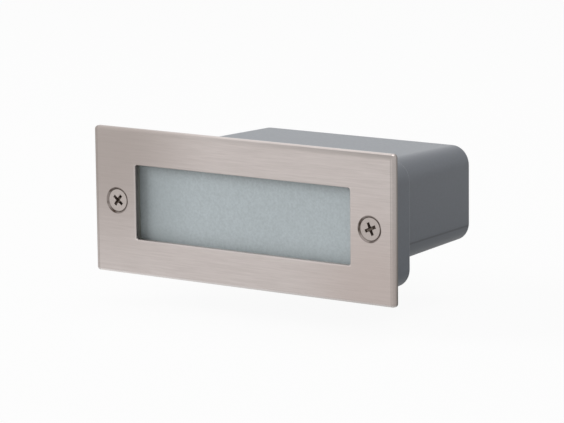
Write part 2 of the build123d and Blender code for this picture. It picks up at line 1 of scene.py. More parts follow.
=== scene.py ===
# %% [markdown]
# # A recessed wall light
# This light sits in a wall opening the size of a brick. A brushed stainless plate frames a
# sand-blasted pane, two countersunk screws hold it, and a grey painted casting stands behind it.
# The exact parts come packed from the construction step. They are loaded first and never moved,
# so that everything added here goes where the real part is.

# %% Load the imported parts
import math

import bpy
import numpy as np
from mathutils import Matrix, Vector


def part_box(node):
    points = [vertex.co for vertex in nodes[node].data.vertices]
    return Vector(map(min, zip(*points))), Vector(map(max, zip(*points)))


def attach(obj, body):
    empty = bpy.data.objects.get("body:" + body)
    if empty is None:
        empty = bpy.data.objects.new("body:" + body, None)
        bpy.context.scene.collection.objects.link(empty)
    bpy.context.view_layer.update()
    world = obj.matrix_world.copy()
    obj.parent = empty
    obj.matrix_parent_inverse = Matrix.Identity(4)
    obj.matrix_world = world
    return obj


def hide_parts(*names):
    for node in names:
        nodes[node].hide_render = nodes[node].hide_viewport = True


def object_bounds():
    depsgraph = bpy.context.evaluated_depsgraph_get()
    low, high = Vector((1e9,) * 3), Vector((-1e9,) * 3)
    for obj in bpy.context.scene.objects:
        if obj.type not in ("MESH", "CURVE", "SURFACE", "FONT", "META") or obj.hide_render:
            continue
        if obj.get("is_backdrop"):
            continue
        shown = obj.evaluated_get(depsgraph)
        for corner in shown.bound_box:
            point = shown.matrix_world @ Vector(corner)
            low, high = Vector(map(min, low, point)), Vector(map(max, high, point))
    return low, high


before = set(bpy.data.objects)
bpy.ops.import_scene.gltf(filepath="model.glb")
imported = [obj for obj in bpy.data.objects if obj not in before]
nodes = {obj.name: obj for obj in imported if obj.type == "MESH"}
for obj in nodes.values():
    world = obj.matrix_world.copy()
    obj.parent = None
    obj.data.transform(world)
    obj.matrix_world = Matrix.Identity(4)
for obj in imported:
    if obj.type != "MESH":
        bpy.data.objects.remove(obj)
cad_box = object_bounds()
MM = 0.001
print("parts:", len(nodes), "size in mm:", [round(v / MM, 1) for v in cad_box[1] - cad_box[0]])

# %% [markdown]
# ## Colours
# Colours are written as the hex values that a picture editor shows. Blender mixes light in linear
# values, so they have to be converted. Linear numbers could be typed in, but nobody can read a
# colour from them. One function does the sum instead.

# %% From hex to linear light
def linear(hex_colour):
    """Linear red, green and blue with full alpha: a straight line near black, a power curve above."""
    shown = np.array([int(hex_colour[i:i + 2], 16) for i in (1, 3, 5)]) / 255
    dark = shown / 12.92
    light = ((shown + 0.055) / 1.055) ** 2.4
    return (*np.where(shown <= 0.04045, dark, light).tolist(), 1.0)


print("mid grey in linear light:", [round(v, 3) for v in linear("#808080")])

# %% [markdown]
# ## Nodes and finishes
# A finish is a tree of nodes that ends in a shader. It could be drawn by hand in the shader
# editor, but a written tree can be read, changed and made again. One function adds any node, one
# opens a tree, two close it, with or without a grain, and the last puts the finish on its parts.

# %% Nodes, trees and slots
BUMP_STRENGTH = 0.3


def add(tree, kind, inputs=(), **settings):
    """Adds a node: settings are its options, inputs are values or the sockets to link from."""
    node = tree.nodes.new(kind)
    for name, value in settings.items():
        setattr(node, name, value)
    for name, value in dict(inputs).items():
        if isinstance(value, bpy.types.NodeSocket):
            tree.links.new(value, node.inputs[name])
        else:
            node.inputs[name].default_value = value
    return node


def open_finish(name):
    """A material with an empty tree: returns it, its tree and the part's own coordinates."""
    material = bpy.data.materials.new(name)
    material.use_nodes = True
    material.node_tree.nodes.clear()
    place = add(material.node_tree, "ShaderNodeTexCoord").outputs["Object"]
    return material, material.node_tree, place


def close_finish(tree, **values):
    """Adds the shader, with spaces for underscores in its input names, and the output."""
    inputs = {name.replace("_", " "): value for name, value in values.items()}
    shader = add(tree, "ShaderNodeBsdfPrincipled", inputs)
    add(tree, "ShaderNodeOutputMaterial", {"Surface": shader.outputs["BSDF"]})


def close_grained(tree, tone, grain, roughness, depth, **values):
    """Closes a finish whose grain swings between two roughnesses and stands up as a low bump."""
    dulled = add(tree, "ShaderNodeMapRange", {
        "Value": grain, "To Min": roughness[0], "To Max": roughness[1]})
    relief = add(tree, "ShaderNodeBump", {
        "Height": grain, "Strength": BUMP_STRENGTH, "Distance": depth})
    close_finish(tree, Base_Color=tone, Roughness=dulled.outputs["Result"],
                 Normal=relief.outputs["Normal"], **values)


def dress(material, *names):
    """Puts a material in the slots of the named parts."""
    for name in names:
        for slot in nodes[name].material_slots:
            slot.material = material
    print(material.name, "on", ", ".join(names))


print("slots to fill:", sum(len(part.material_slots) for part in nodes.values()))

# %% [markdown]
# ## Brushed stainless sheet
# The plate is stainless sheet, drawn across an abrasive belt that leaves fine scratches along its
# width. They could be painted as an image, but stretched noise does the same at any size: long
# along X, short across. Real scratches are about 0.1 mm wide. They are drawn near 0.5 mm here,
# because finer ones vanish at this distance. Two broad soft patches of painted shade lie over
# them: a grey one toward the upper left, and a warmer one at the lower right.

# %% Scratches
SCRATCH_LENGTH = 15 * MM
SCRATCH_WIDTH = 0.55 * MM
SCRATCH_DETAIL = 4.0
SCRATCH_HARSHNESS = 0.65

brushed_stainless, tree, place = open_finish("stainless_sheet_belt_brushed")
stretched = add(tree, "ShaderNodeMapping", {
    "Vector": place, "Scale": (1 / SCRATCH_LENGTH, 1 / SCRATCH_WIDTH, 1 / SCRATCH_WIDTH)})
scratches = add(tree, "ShaderNodeTexNoise", {
    "Vector": stretched.outputs["Vector"], "Scale": 1.0, "Detail": SCRATCH_DETAIL,
    "Roughness": SCRATCH_HARSHNESS})
scratched = add(tree, "ShaderNodeMix", {
    0: scratches.outputs["Fac"], 6: linear("#BBB2AE"), 7: linear("#DED5D2")}, data_type="RGBA")
print("scratches in mm:", round(SCRATCH_LENGTH / MM, 1), "long,", round(SCRATCH_WIDTH / MM, 2), "wide")

# %% Soft painted shade
UPPER_SHADE_PLACE = (-80 * MM, 0.0, 30 * MM)
UPPER_SHADE_INNER = 14 * MM
UPPER_SHADE_OUTER = 71 * MM
UPPER_SHADE_SHARE = 0.6
LOWER_SHADE_PLACE = (78 * MM, 0.0, -33 * MM)
LOWER_SHADE_INNER = 10 * MM
LOWER_SHADE_OUTER = 56 * MM
LOWER_SHADE_SHARE = 0.45

# painted shade: two broad soft darker patches, a grey one at the upper left and a warmer one at the lower
# right
shaded_scratches = scratched.outputs[2]
for middle, inner, outer, share, tone in (
        (UPPER_SHADE_PLACE, UPPER_SHADE_INNER, UPPER_SHADE_OUTER, UPPER_SHADE_SHARE, "#9F948E"),
        (LOWER_SHADE_PLACE, LOWER_SHADE_INNER, LOWER_SHADE_OUTER, LOWER_SHADE_SHARE, "#BAAAA3")):
    away = add(tree, "ShaderNodeVectorMath", {0: place, 1: middle}, operation="DISTANCE")
    plate_shade = add(tree, "ShaderNodeMapRange", {
        "Value": away.outputs["Value"], "From Min": inner, "From Max": outer,
        "To Min": share, "To Max": 0.0}, interpolation_type="SMOOTHSTEP")
    shaded_scratches = add(tree, "ShaderNodeMix", {
        0: plate_shade.outputs["Result"], 6: shaded_scratches, 7: linear(tone)}, data_type="RGBA").outputs[2]
    print(tone, "fades out", round(outer / MM, 1), "mm from", [round(v / MM, 1) for v in middle])

# %% [markdown]
# Painted highlights lie on the rounded edges, round the window and along the foot of the plate.
# Edges could be found by their slope, but here each band is a distance from a known edge, so the
# colour reads the part's own X, Y and Z. A point lies outside the window by the larger of two
# distances, past its half width and past its half height. The half height is taken a little
# short, which keeps the two long walls of the window bright.

# %% Painted highlights on the edges
PANE_COVER = 3.0 * MM
LONG_WALL_SKIP = 0.3 * MM
WINDOW_ROUND = 0.9 * MM
WINDOW_HIGHLIGHT = 0.15
FOOT_HEIGHT = 0.7 * MM
FOOT_HIGHLIGHT = 0.6
pane_low, pane_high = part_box("glass_pane")
plate_low, plate_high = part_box("face_plate")
half_width = pane_high.x - PANE_COVER
half_height = pane_high.z - PANE_COVER

axes = add(tree, "ShaderNodeSeparateXYZ", {"Vector": place}).outputs
past = []
for axis, half in (("X", half_width), ("Z", half_height - LONG_WALL_SKIP)):
    out = add(tree, "ShaderNodeMath", {0: axes[axis]}, operation="ABSOLUTE")
    past.append(add(tree, "ShaderNodeMath", {0: out.outputs[0], 1: half}, operation="SUBTRACT"))
outside = add(tree, "ShaderNodeMath", {
    0: past[0].outputs[0], 1: past[1].outputs[0]}, operation="MAXIMUM")
# painted highlight: a pale band on the window's rounded edge and along the plate's foot
window_highlight = add(tree, "ShaderNodeMapRange", {
    "Value": outside.outputs[0], "From Min": WINDOW_ROUND / 2, "From Max": WINDOW_ROUND,
    "To Min": WINDOW_HIGHLIGHT, "To Max": 0.0})
foot_highlight = add(tree, "ShaderNodeMapRange", {
    "Value": axes["Z"], "From Min": plate_low.z + FOOT_HEIGHT,
    "From Max": plate_low.z + 2 * FOOT_HEIGHT, "To Min": FOOT_HIGHLIGHT, "To Max": 0.0})
highlight_share = add(tree, "ShaderNodeMath", {
    0: window_highlight.outputs["Result"], 1: foot_highlight.outputs["Result"]}, operation="MAXIMUM")
highlighted = add(tree, "ShaderNodeMix", {
    0: highlight_share.outputs[0], 6: shaded_scratches, 7: linear("#F6F2F0")}, data_type="RGBA")
print("window in mm:", round(2 * half_width / MM, 1), "by", round(2 * half_height / MM, 1))

# %% [markdown]
# The end walls of the window and the two ends of the plate get painted shade, darker than the
# face, and darkest at the back of each end. A thin painted dark line marks where each end starts
# to turn over.

# %% Painted shade on walls and ends
CUT_BLUR = 0.1 * MM
WALL_SHADE_SHARE = 0.65
END_INNER = 1.95 * MM
END_OUTER = 0.75 * MM
END_SHADE_FRONT = -1.5 * MM
END_SHADE_BACK = -0.5 * MM
FRONT_SHARE = 0.32
BACK_SHARE = 0.9
LINE_INSET = 1.9 * MM
LINE_HALF = 0.2 * MM
LINE_SHARE = 0.35

# painted shade: darker window end walls and plate ends, darkest at the back, and a thin dark line near
# each end
cut = add(tree, "ShaderNodeMapRange", {
    "Value": outside.outputs[0], "From Min": CUT_BLUR / 2, "From Max": 3 * CUT_BLUR / 2,
    "To Min": WALL_SHADE_SHARE, "To Max": 0.0})
sideways = add(tree, "ShaderNodeMath", {0: axes["X"]}, operation="ABSOLUTE")
end = add(tree, "ShaderNodeMapRange", {
    "Value": sideways.outputs[0], "From Min": plate_high.x - END_INNER,
    "From Max": plate_high.x - END_OUTER})
end_shade_depth = add(tree, "ShaderNodeMapRange", {
    "Value": axes["Y"], "From Min": END_SHADE_FRONT, "From Max": END_SHADE_BACK,
    "To Min": FRONT_SHARE, "To Max": BACK_SHARE})
end_shade = add(tree, "ShaderNodeMath", {
    0: end.outputs["Result"], 1: end_shade_depth.outputs["Result"]}, operation="MULTIPLY")
on_line = add(tree, "ShaderNodeMath", {
    0: sideways.outputs[0], 1: plate_high.x - LINE_INSET, 2: LINE_HALF}, operation="COMPARE")
end_line = add(tree, "ShaderNodeMath", {
    0: on_line.outputs[0], 1: LINE_SHARE}, operation="MULTIPLY")
print("ends darken over their last", round(END_INNER / MM, 2), "mm")

# %% [markdown]
# A painted dark line, stronger toward the right, lies along the top below the bright rim. Three
# ramps multiplied give it: one fades downward, one stops at the rim and one grows to the right.
# At each point the strongest of the painted dark bands holds.

# %% Painted dark line below the rim
RIM_LINE_INSET = 0.6 * MM
RIM_LINE_FADE = 2.4 * MM
RIM_LINE_STOP = 0.25 * MM
RIM_LINE_START = -66 * MM
RIM_LINE_FULL = 81 * MM
RIM_LINE_SHARE = 0.6
rim_line_height = plate_high.z - RIM_LINE_INSET

fading = add(tree, "ShaderNodeMapRange", {
    "Value": axes["Z"], "From Min": rim_line_height - RIM_LINE_FADE, "From Max": rim_line_height,
    "To Min": 0.0, "To Max": RIM_LINE_SHARE})
below_rim = add(tree, "ShaderNodeMapRange", {
    "Value": axes["Z"], "From Min": rim_line_height, "From Max": rim_line_height + RIM_LINE_STOP,
    "To Min": 1.0, "To Max": 0.0})
rightward = add(tree, "ShaderNodeMapRange", {
    "Value": axes["X"], "From Min": RIM_LINE_START, "From Max": RIM_LINE_FULL})
band = add(tree, "ShaderNodeMath", {
    0: fading.outputs["Result"], 1: below_rim.outputs["Result"]}, operation="MULTIPLY")
rim_line_shade = add(tree, "ShaderNodeMath", {
    0: band.outputs[0], 1: rightward.outputs["Result"]}, operation="MULTIPLY")
# painted shade: the strongest of the dark bands mixes the plate toward a dark grey
shade_share = cut.outputs["Result"]
for share in (end_shade.outputs[0], end_line.outputs[0], rim_line_shade.outputs[0]):
    shade_share = add(tree, "ShaderNodeMath", {0: shade_share, 1: share}, operation="MAXIMUM").outputs[0]
shaded_plate = add(tree, "ShaderNodeMix", {
    0: shade_share, 6: highlighted.outputs[2], 7: linear("#6E6A66")}, data_type="RGBA")
print("dull line stands", round(rim_line_height / MM, 2), "mm above the middle")

# %% [markdown]
# A dark brown line lies in each countersink, thicker in some places than in others, so the last
# band lies round the screws and a coarse noise thins it. One function gives the distance from
# the nearer screw, and the screws' own finish uses it again.

# %% Dark ring round the screws
SINK_EDGE = 6.35 * MM
SINK_BLUR = 0.12 * MM
PATCH_WIDTH = 5 * MM
PATCH_LOW = 0.4
PATCH_HIGH = 0.6
THIN_SHARE = 0.5
screw_low, screw_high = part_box("cover_screw_right")
screw_x = (screw_low.x + screw_high.x) / 2


def from_screw(tree, axes):
    """Distance from the nearer screw's axis: the length of Z and of |X| less the screw's own X."""
    beside = add(tree, "ShaderNodeMath", {0: axes["X"]}, operation="ABSOLUTE")
    across = add(tree, "ShaderNodeMath", {0: beside.outputs[0], 1: screw_x}, operation="SUBTRACT")
    spread = add(tree, "ShaderNodeCombineXYZ", {"X": across.outputs[0], "Z": axes["Z"]})
    reach = add(tree, "ShaderNodeVectorMath", {0: spread.outputs["Vector"]}, operation="LENGTH")
    return reach.outputs["Value"]


# a dark brown ring round each screw at the countersink's edge, thinned in patches by noise
sunk = add(tree, "ShaderNodeMapRange", {
    "Value": from_screw(tree, axes), "From Min": SINK_EDGE - SINK_BLUR,
    "From Max": SINK_EDGE + SINK_BLUR, "To Min": 1.0, "To Max": 0.0})
patchy = add(tree, "ShaderNodeTexNoise", {"Vector": place, "Scale": 1 / PATCH_WIDTH, "Detail": 1.0})
thickness = add(tree, "ShaderNodeMapRange", {
    "Value": patchy.outputs["Fac"], "From Min": PATCH_LOW, "From Max": PATCH_HIGH,
    "To Min": THIN_SHARE, "To Max": 1.0})
dark_ring_share = add(tree, "ShaderNodeMath", {
    0: sunk.outputs["Result"], 1: thickness.outputs["Result"]}, operation="MULTIPLY")
plate_with_dark_ring = add(tree, "ShaderNodeMix", {
    0: dark_ring_share.outputs[0], 6: shaded_plate.outputs[2], 7: linear("#51463F")}, data_type="RGBA")
print("screws stand", round(screw_x / MM, 2), "mm to each side of the middle")

# %% Sheen of the plate
SCRATCH_ROUGHNESS = (0.3, 0.48)
SCRATCH_DEPTH = 0.015 * MM

close_grained(tree, plate_with_dark_ring.outputs[2], scratches.outputs["Fac"], SCRATCH_ROUGHNESS, SCRATCH_DEPTH,
              Metallic=1.0)
dress(brushed_stainless, "face_plate")

# %% [markdown]
# ## Painted casting
# The housing is die-cast aluminium with a satin powder coat, whose orange peel is about 1.5 mm
# from dimple to dimple, and a noise of that size gives it. The mould left a faint seam round the
# box, above its lower round. A groove in the mesh could show it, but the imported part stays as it
# is, and paint that gathers in a seam reads as a thin dark line anyway.

# %% Powder coat
PEEL_WIDTH = 1.5 * MM
PEEL_ROUGHNESS = (0.28, 0.4)
PEEL_DEPTH = 0.02 * MM
GRAIN_DETAIL = 3.0
SEAM_HEIGHT = -15.2 * MM
SEAM_HALF = 0.3 * MM
SEAM_START = 20 * MM
SEAM_SHARE = 0.45

powder_coat, tree, place = open_finish("die_cast_aluminium_grey_powder_coat")
peel = add(tree, "ShaderNodeTexNoise", {
    "Vector": place, "Scale": 1 / PEEL_WIDTH, "Detail": GRAIN_DETAIL})
paint = add(tree, "ShaderNodeMix", {
    0: peel.outputs["Fac"], 6: linear("#5C6168"), 7: linear("#676C74")}, data_type="RGBA")
axes = add(tree, "ShaderNodeSeparateXYZ", {"Vector": place}).outputs
above = add(tree, "ShaderNodeMath", {0: axes["Z"], 1: SEAM_HEIGHT}, operation="SUBTRACT")
beside = add(tree, "ShaderNodeMath", {0: above.outputs[0]}, operation="ABSOLUTE")
line = add(tree, "ShaderNodeMapRange", {
    "Value": beside.outputs[0], "From Min": SEAM_HALF, "From Max": 2 * SEAM_HALF,
    "To Min": SEAM_SHARE, "To Max": 0.0})
behind = add(tree, "ShaderNodeMath", {0: axes["Y"], 1: SEAM_START}, operation="GREATER_THAN")
seam = add(tree, "ShaderNodeMath", {
    0: line.outputs["Result"], 1: behind.outputs[0]}, operation="MULTIPLY")
seamed = add(tree, "ShaderNodeMix", {
    0: seam.outputs[0], 6: paint.outputs[2], 7: linear("#2E3034")}, data_type="RGBA")
close_grained(tree, seamed.outputs[2], peel.outputs["Fac"], PEEL_ROUGHNESS, PEEL_DEPTH, IOR=1.5)
dress(powder_coat, "housing")

# %% [markdown]
# ## Frosted pane
# The pane is thick float glass, sand-blasted so that the lamp shows only as a glow. Its pits are
# far below a pixel, so a grain of 1.1 mm stands for them. Rough clear glass could do this, but
# pits scatter nearly all light and little goes straight through, so most of the pane is a pale
# tone of its own. Painted shade darkens it along the lower edge and toward the left end.

# %% Frosted glass
PIT_WIDTH = 1.1 * MM
PIT_ROUGHNESS = (0.5, 0.65)
PIT_DEPTH = 0.03 * MM
CLEAR_SHARE = 0.15
PANE_SHADE_NEAR = 10 * MM
PANE_SHADE_FAR = 42 * MM
PANE_SHADE_RISE = 12 * MM
LEFT_PANE_SHADE = 0.33
LOW_PANE_SHADE = 0.25

frosted_glass, tree, place = open_finish("float_glass_sand_blasted")
pits = add(tree, "ShaderNodeTexNoise", {
    "Vector": place, "Scale": 1 / PIT_WIDTH, "Detail": GRAIN_DETAIL})
frost = add(tree, "ShaderNodeMix", {
    0: pits.outputs["Fac"], 6: linear("#A6AFB2"), 7: linear("#CAD3D7")}, data_type="RGBA")
axes = add(tree, "ShaderNodeSeparateXYZ", {"Vector": place}).outputs
# painted shade on the pane, toward its left end and along its lower edge
left_pane_shade = add(tree, "ShaderNodeMapRange", {
    "Value": axes["X"], "From Min": pane_low.x + PANE_SHADE_NEAR, "From Max": pane_low.x + PANE_SHADE_FAR,
    "To Min": LEFT_PANE_SHADE, "To Max": 0.0}, interpolation_type="SMOOTHSTEP")
low_pane_shade = add(tree, "ShaderNodeMapRange", {
    "Value": axes["Z"], "From Min": pane_low.z + PANE_COVER, "From Max": pane_low.z + PANE_SHADE_RISE,
    "To Min": LOW_PANE_SHADE, "To Max": 0.0}, interpolation_type="SMOOTHSTEP")
pane_shade = add(tree, "ShaderNodeMath", {
    0: left_pane_shade.outputs["Result"], 1: low_pane_shade.outputs["Result"]}, operation="ADD")
shaded_frost = add(tree, "ShaderNodeMix", {
    0: pane_shade.outputs[0], 6: frost.outputs[2], 7: linear("#8A9294")}, data_type="RGBA")
close_grained(tree, shaded_frost.outputs[2], pits.outputs["Fac"], PIT_ROUGHNESS, PIT_DEPTH, IOR=1.5,
              Transmission_Weight=CLEAR_SHARE)
dress(frosted_glass, "glass_pane")

# %% [markdown]
# ## Grained finishes
# The other surfaces are one colour with a grain: rubber has talc, cast ceramic has pores, plated
# steel has blotches. Each could have a tree of its own. They share one recipe instead: a noise at
# the grain's real size moves the tone, the sheen and a low bump, and the sizes tell them apart.

# %% One recipe for grain
def grained(name, dark, light, grain_mm, roughness, depth_mm, **values):
    """Noise of the grain's size, in mm along X, Y and Z, blends two tones and two roughnesses."""
    material, tree, place = open_finish(name)
    sized = add(tree, "ShaderNodeMapping", {
        "Vector": place, "Scale": [1 / (size * MM) for size in grain_mm]})
    grain = add(tree, "ShaderNodeTexNoise", {
        "Vector": sized.outputs["Vector"], "Scale": 1.0, "Detail": GRAIN_DETAIL})
    tone = add(tree, "ShaderNodeMix", {
        0: grain.outputs["Fac"], 6: linear(dark), 7: linear(light)}, data_type="RGBA")
    close_grained(tree, tone.outputs[2], grain.outputs["Fac"], roughness, depth_mm * MM, **values)
    return material


print("grain noise has", GRAIN_DETAIL, "finer layers, and its bump a strength of", BUMP_STRENGTH)

# %% [markdown]
# ## Rubber, nylon and ceramic
# Most seals are black rubber, dusted with talc so that they don't stick. The one round the pane
# is grey silicone, which stands the lamp's heat. The gland is moulded nylon, the loose washers on
# the screws are natural nylon. The lamp holder and the terminal block are steatite, a fired
# ceramic with an unglazed, slightly speckled skin. Only tones, grain and sheen differ between
# them, so each is one call of the recipe.

# %% Seals, mouldings and fired parts
rubber = grained("black_rubber_talc_dusted", "#1E1E1D", "#2E2E2D",
                 grain_mm=(1.2, 1.2, 1.2), roughness=(0.65, 0.85), depth_mm=0.03)
dress(rubber, "rim_gasket", "gland_washer", "gland_seal")
silicone = grained("grey_silicone_moulded", "#7A7C75", "#888A83",
                   grain_mm=(1.2, 1.2, 1.2), roughness=(0.5, 0.65), depth_mm=0.02)
dress(silicone, "window_gasket")
black_nylon = grained("nylon_moulded_black", "#191A1B", "#242527",
                      grain_mm=(0.8, 0.8, 0.8), roughness=(0.38, 0.52), depth_mm=0.02)
dress(black_nylon, "gland_body", "gland_nut", "gland_locknut")
white_nylon = grained("nylon_moulded_natural", "#D5D2C6", "#E4E1D6",
                      grain_mm=(1.0, 1.0, 1.0), roughness=(0.4, 0.5), depth_mm=0.01)
dress(white_nylon, "screw_washers")
steatite = grained("steatite_fired_unglazed", "#D9D4C6", "#ECE8DC",
                   grain_mm=(0.7, 0.7, 0.7), roughness=(0.55, 0.75), depth_mm=0.03)
dress(steatite, "lamp_holder", "terminal_body")

# %% [markdown]
# ## Inner metals
# The reflector is bright aluminium sheet with fine rolling lines along its width. The bracket,
# clamp and small screws are steel with a bluish zinc plating, blotched a few millimetres wide.
# Terminals are turned brass. A grain that is longer along one axis gives lines, an even one gives
# blotches. A metal keeps the shader's usual index, its colour does the work.

# %% Aluminium, zinc and brass
aluminium = grained("aluminium_sheet_bright_rolled", "#CBCED0", "#E2E4E5",
                    grain_mm=(40, 0.6, 0.6), roughness=(0.16, 0.28), depth_mm=0.005, Metallic=1.0)
dress(aluminium, "reflector", "bracket_rivets")
zinc = grained("steel_zinc_plated", "#A9AEB3", "#C4C8CB",
               grain_mm=(3.0, 3.0, 3.0), roughness=(0.3, 0.45), depth_mm=0.01, Metallic=1.0)
dress(zinc, "clamp_frame", "clamp_nuts", "reflector_screws", "holder_bracket", "holder_screws",
      "lamp_pins", "terminal_screws", "terminal_fixing")
brass = grained("brass_turned", "#B8924F", "#D3AE6C",
                grain_mm=(4.0, 0.4, 4.0), roughness=(0.25, 0.4), depth_mm=0.01, Metallic=1.0)
dress(brass, "terminal_tubes", "earth_washer", "earth_screw")

# %% [markdown]
# ## Wires and bulb
# The two inner wires have heat-proof silicone sleeves, brown for live and blue for neutral. The
# bulb is blown quartz, clear with a faint waviness. A see-through alpha would be quicker for it,
# but full transmission with the index of quartz also bends what stands behind.

# %% Sleeves and quartz
brown_sleeve = grained("silicone_sleeve_brown", "#4A2E1E", "#5C3B29",
                       grain_mm=(2.0, 2.0, 2.0), roughness=(0.45, 0.6), depth_mm=0.01)
dress(brown_sleeve, "live_wire")
blue_sleeve = grained("silicone_sleeve_blue", "#22477F", "#2F5896",
                      grain_mm=(2.0, 2.0, 2.0), roughness=(0.45, 0.6), depth_mm=0.01)
dress(blue_sleeve, "neutral_wire")
quartz = grained("quartz_blown_clear", "#F4F6F7", "#FCFDFD",
                 grain_mm=(9.0, 9.0, 9.0), roughness=(0.01, 0.04), depth_mm=0.02, IOR=1.46,
                 Transmission_Weight=1.0)
dress(quartz, "lamp_bulb")

# %% [markdown]
# ## A mesh from a grid of points
# A turned screw and a coiled wire are both surfaces of two parameters: one runs along the piece,
# one runs round it. The points come as whole arrays, and this function joins each to its
# neighbours. The round way closes on itself, and each end closes with a fan on one point.

# %% Tube from rings
def tube_from_rings(name, rings, first, last):
    """Joins rings of points, shaped (ring, point, 3): each square takes two neighbours on a ring and
    the same two on the next one, and a fan closes each end on one point."""
    count, around = rings.shape[:2]
    index = np.arange(count * around).reshape(count, around)
    onward = np.roll(index, -1, axis=1)
    quads = np.stack([index[:-1], onward[:-1], onward[1:], index[1:]], axis=-1).reshape(-1, 4)
    start, stop = count * around, count * around + 1
    caps = [np.stack([onward[0], index[0], np.full(around, start)], axis=-1),
            np.stack([index[-1], onward[-1], np.full(around, stop)], axis=-1)]
    points = np.concatenate([rings.reshape(-1, 3), [first, last]])
    mesh = bpy.data.meshes.new(name)
    mesh.from_pydata(points.tolist(), [], quads.tolist() + np.concatenate(caps).tolist())
    mesh.validate()
    piece = bpy.data.objects.new(name, mesh)
    bpy.context.scene.collection.objects.link(piece)
    print(name, "has", len(mesh.polygons), "faces")
    return piece


# %% [markdown]
# ## Cover screws
# Each screw is a stainless M6 with a countersunk head and a cross recess, turned by hand until it
# stops, so the two crosses stand at different angles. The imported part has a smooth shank. Here the
# whole screw is one surface: a station runs from the middle of the head, over the rim, down the
# cone and along the shank. The recess lowers the head's points and the thread moves the shank's.
# Cutting the cross with a second solid would work too, but leaves long thin faces.

# %% Cross recess
ARM_REACH = 3.0 * MM
ARM_HALF = 0.66 * MM
ARM_SLOPE = 0.35
HUB_RADIUS = 1.15 * MM
RECESS_DEPTH = 2.5 * MM
RECESS_WALL = 0.14 * MM


def smooth(low, high, value):
    """Goes smoothly from 0 at low to 1 at high: three times the square less twice the cube."""
    share = np.clip((value - low) / (high - low), 0, 1)
    return share * share * (3 - 2 * share)


def recess_depth(radius, angle):
    """Depth of the cross: full depth less a share of the radius, faded out across its wall. A point
    is outside the arms by the larger of two distances, and the round hub can only lessen that."""
    along = radius * np.maximum(abs(np.cos(angle)), abs(np.sin(angle)))
    aside = radius * np.minimum(abs(np.cos(angle)), abs(np.sin(angle)))
    outside = np.maximum(aside - ARM_HALF, along - ARM_REACH)
    outside = np.minimum(outside, radius - HUB_RADIUS)
    return (RECESS_DEPTH - ARM_SLOPE * radius) * (1 - smooth(-RECESS_WALL, RECESS_WALL, outside))


print("cross is", round(recess_depth(0.0, 0.0) / MM, 2), "mm deep in the middle")

# %% Shape of a screw
HEAD_RADIUS = 5.5 * MM
SHANK_RADIUS = 3.0 * MM
HEAD_HEIGHT = HEAD_RADIUS - SHANK_RADIUS
FIRST_RADIUS = 0.04 * MM
RIM_ROUND = 0.18 * MM
RIM_INSET = 0.1 * RIM_ROUND
RIM_TURN = 0.75 * math.pi
THREAD_PITCH = 1.0 * MM
THREAD_DEPTH = 0.55 * MM
FLANK_SLOPE = 1.25
CREST_FLAT = 0.1
PLAIN_SHANK = 1.6 * MM
TIP_LENGTH = 0.8 * MM
AROUND = 160
HEAD_RINGS = 64
RIM_RINGS = 6
CONE_RINGS = 5
SHANK_RINGS = 189


def screw_surface(length):
    """Radius and depth at each station and angle: head, rim arc, cone, then a shank. Its thread is a
    triangle wave of depth in pitches less angle in turns, and its tip narrows at 45 degrees."""
    angle = np.linspace(0, 2 * math.pi, AROUND, endpoint=False)
    radius = np.linspace(FIRST_RADIUS, HEAD_RADIUS - RIM_ROUND, HEAD_RINGS)[:, None] + 0 * angle
    head = np.stack([radius, recess_depth(radius, angle)])
    turn = np.linspace(0, RIM_TURN, RIM_RINGS + 1)[1:, None] + 0 * angle
    rim = np.stack([HEAD_RADIUS - RIM_ROUND * (1 - np.sin(turn)) - RIM_INSET,
                    RIM_ROUND * (1 - np.cos(turn))])
    share = np.linspace(0, 1, CONE_RINGS + 1)[1:, None] + 0 * angle
    cone = rim[:, -1:] * (1 - share) + np.array([SHANK_RADIUS, HEAD_HEIGHT])[:, None, None] * share
    depth = np.linspace(HEAD_HEIGHT, length, SHANK_RINGS + 1)[1:, None] + 0 * angle
    phase = np.mod(depth / THREAD_PITCH - angle / (2 * math.pi), 1)
    groove = THREAD_DEPTH * np.clip(FLANK_SLOPE * abs(2 * phase - 1) - CREST_FLAT, 0, 1)
    groove = groove * smooth(0, THREAD_PITCH, depth - HEAD_HEIGHT - PLAIN_SHANK)
    tip = np.clip(depth - (length - TIP_LENGTH), 0, None)
    shank = np.stack([np.minimum(SHANK_RADIUS - groove, SHANK_RADIUS - tip), depth])
    return angle, np.concatenate([head, rim, cone, shank], axis=1)


print("thread in mm:", round(2 * SHANK_RADIUS / MM, 1), "across, pitch", round(THREAD_PITCH / MM, 2))

# %% Both screws
LEFT_TURN = 52
RIGHT_TURN = 24


def cover_screw(side, turn):
    """A screw on its part's axis: radius and angle, turned by some degrees, give X and Z, depth Y."""
    low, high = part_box(f"cover_screw_{side}")
    middle = (low + high) / 2
    angle, (radius, depth) = screw_surface(high.y - low.y)
    angle = angle + math.radians(turn)
    across = middle.x + radius * np.cos(angle)
    upward = middle.z + radius * np.sin(angle)
    rings = np.stack([across, low.y + depth, upward], -1)
    top = [middle.x, low.y + RECESS_DEPTH, middle.z]
    end = [middle.x, high.y, middle.z]
    return tube_from_rings(f"threaded_screw_{side}", rings, top, end)


screws = {"left": cover_screw("left", LEFT_TURN), "right": cover_screw("right", RIGHT_TURN)}

# %% [markdown]
# Screws are cut on a lathe, which leaves rings round the axis. The finish reads the distance from
# the nearer screw's axis, and a sine of it makes rings 0.5 mm apart: real ones are finer, but
# these still show. A wave texture has rings too, but round one centre, and here are two. The tone
# darkens with depth in the cross, and toward the edge of the head.

# %% Turned steel, darker in the cross
RING_GAP = 0.5 * MM
RING_BUMP = 0.15
RING_DEPTH = 0.01 * MM
TURNED_ROUGHNESS = 0.34
DARK_START = 0.5 * MM
DARK_END = 1.6 * MM
RIM_DARK_WIDTH = 0.2 * MM

